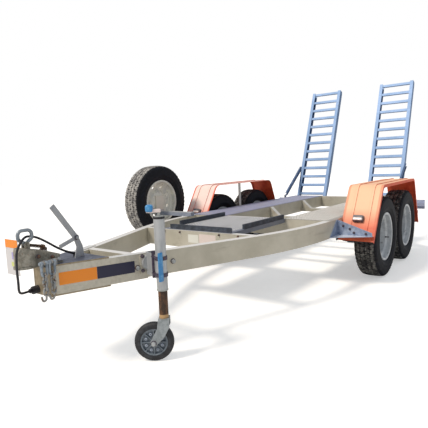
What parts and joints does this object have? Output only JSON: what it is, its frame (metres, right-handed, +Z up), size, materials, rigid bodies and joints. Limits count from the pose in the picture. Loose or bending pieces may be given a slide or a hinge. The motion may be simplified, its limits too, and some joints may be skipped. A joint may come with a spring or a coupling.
{
  "type": "plant trailer with folding ramps",
  "caption": "Tandem-axle flatbed plant trailer with sprung beam axles, an A-frame nose with a ball coupling and jockey wheel, and two upright folding ladder ramps.",
  "frame": {"origin": "centre of the ball in the coupling socket, 600 mm above the ground", "axes": "+Y towards the rear of the trailer, +Z up, +X to the side that carries the jockey wheel"},
  "size_m": [2.2235, 5.3219, 2.0842],
  "materials": {
    "rail_aluminium": "mill finish, dulled",
    "tread_plate": "embossed tread plate",
    "ramp_aluminium": "extruded, bright",
    "galvanised_steel": "hot-dip galvanised",
    "coupling_metal": "weathered casting",
    "spring_steel": "black painted, road dirt",
    "guard_paint": "orange-red gloss enamel",
    "rim_paint": "silver wheel paint",
    "spare_paint": "cream wheel paint",
    "drum_iron": "dark casting",
    "road_tyre": "tyre rubber",
    "jockey_tyre": "solid rubber tyre",
    "jockey_plastic": "grey-blue moulding",
    "jockey_blue": "blue moulding",
    "zinc_plate": "zinc plated",
    "rusty_tube": "greased and rusted steel",
    "bumper_rubber": "moulded rubber",
    "cable_sheath": "PVC sheath",
    "plug_plastic": "moulded plastic",
    "sign_plastic": "blank white panel",
    "lamp_amber": "moulded lens",
    "lamp_red": "moulded lens"
  },
  "bodies": {
    "chassis": {"axle_clamps": "galvanised_steel", "axles": "galvanised_steel", "bucket_tray": "tread_plate", "cable_gland": "plug_plastic", "cable_plug": "plug_plastic", "chain_lug": "galvanised_steel", "coupling_handle": "galvanised_steel", "coupling_head": "coupling_metal", "cross_members": "rail_aluminium", "deck_track_left": "tread_plate", "deck_track_right": "tread_plate", "front_sign": "sign_plastic", "guard_brackets": "galvanised_steel", "handbrake": "galvanised_steel", "inner_rails": "rail_aluminium", "jockey_clamp": "galvanised_steel", "leaf_springs": "spring_steel", "low_tubes": "rail_aluminium", "main_rail_left": "rail_aluminium", "main_rail_right": "rail_aluminium", "marker_lamps": "lamp_amber", "mudguard_left": "guard_paint", "mudguard_right": "guard_paint", "nose_head": "galvanised_steel", "nose_sleeves": "galvanised_steel", "ramp_hinges": "galvanised_steel", "safety_chains": "galvanised_steel", "spare_carrier": "galvanised_steel", "spare_rim": "spare_paint", "spare_tyre": "road_tyre", "spring_hangers": "galvanised_steel", "tail_lamp_arms": "galvanised_steel", "tail_lamps": "lamp_red", "trailer_cable": "cable_sheath", "tray_bumpers": "bumper_rubber"},
    "wheel_front_left": {"tyre_front_left": "road_tyre", "rim_front_left": "rim_paint", "drum_front_left": "drum_iron"},
    "wheel_front_right": {"tyre_front_right": "road_tyre", "rim_front_right": "rim_paint", "drum_front_right": "drum_iron"},
    "wheel_rear_left": {"tyre_rear_left": "road_tyre", "rim_rear_left": "rim_paint", "drum_rear_left": "drum_iron"},
    "wheel_rear_right": {"tyre_rear_right": "road_tyre", "rim_rear_right": "rim_paint", "drum_rear_right": "drum_iron"},
    "ramp_left": {"ramp_left": "ramp_aluminium"},
    "stay_left": {"ramp_stay_left": "galvanised_steel"},
    "ramp_right": {"ramp_right": "ramp_aluminium"},
    "stay_right": {"ramp_stay_right": "galvanised_steel"},
    "jockey_leg": {"jockey_outer_tube": "galvanised_steel", "jockey_crank": "zinc_plate", "jockey_handles": "jockey_blue"},
    "jockey_slide": {"jockey_inner_tube": "rusty_tube"},
    "jockey_castor": {"jockey_fork": "zinc_plate"},
    "jockey_wheel": {"jockey_tyre": "jockey_tyre", "jockey_hub": "jockey_plastic"}
  },
  "joints": [
    {"name": "spin_front_left", "type": "hinge", "parent": "chassis", "child": "wheel_front_left", "pos_m": [0.905, 2.8475, -0.235], "axis": [1, 0, 0], "continuous": true},
    {"name": "spin_front_right", "type": "hinge", "parent": "chassis", "child": "wheel_front_right", "pos_m": [-0.905, 2.8475, -0.235], "axis": [1, 0, 0], "continuous": true},
    {"name": "spin_rear_left", "type": "hinge", "parent": "chassis", "child": "wheel_rear_left", "pos_m": [0.905, 3.6225, -0.235], "axis": [1, 0, 0], "continuous": true},
    {"name": "spin_rear_right", "type": "hinge", "parent": "chassis", "child": "wheel_rear_right", "pos_m": [-0.905, 3.6225, -0.235], "axis": [1, 0, 0], "continuous": true},
    {"name": "ramp_left_fold", "type": "hinge", "parent": "chassis", "child": "ramp_left", "pos_m": [0.495, 4.588, -0.055], "axis": [-1, 0, 0], "range_deg": [0, 85]},
    {"name": "stay_left_fold", "type": "hinge", "parent": "ramp_left", "child": "stay_left", "pos_m": [0.718, 4.76332, 0.37892], "axis": [-1, 0, 0], "range_deg": [0, 147]},
    {"name": "ramp_right_fold", "type": "hinge", "parent": "chassis", "child": "ramp_right", "pos_m": [-0.495, 4.588, -0.055], "axis": [-1, 0, 0], "range_deg": [0, 85]},
    {"name": "stay_right_fold", "type": "hinge", "parent": "ramp_right", "child": "stay_right", "pos_m": [-0.718, 4.76332, 0.37892], "axis": [-1, 0, 0], "range_deg": [0, 147]},
    {"name": "jockey_swing", "type": "hinge", "parent": "chassis", "child": "jockey_leg", "pos_m": [0.26406, 0.58, -0.073], "axis": [0.9291, -0.3697, 0], "range_deg": [0, 90]},
    {"name": "jockey_height", "type": "slide", "parent": "jockey_leg", "child": "jockey_slide", "axis": [0, 0, 1], "range_m": [-0.1, 0.15]},
    {"name": "jockey_swivel", "type": "hinge", "parent": "jockey_slide", "child": "jockey_castor", "pos_m": [0.4313, 0.51345, -0.356], "axis": [0, 0, 1], "continuous": true},
    {"name": "jockey_spin", "type": "hinge", "parent": "jockey_castor", "child": "jockey_wheel", "pos_m": [0.38326, 0.4775, -0.49], "axis": [0.599, -0.8007, 0], "continuous": true}
  ]
}
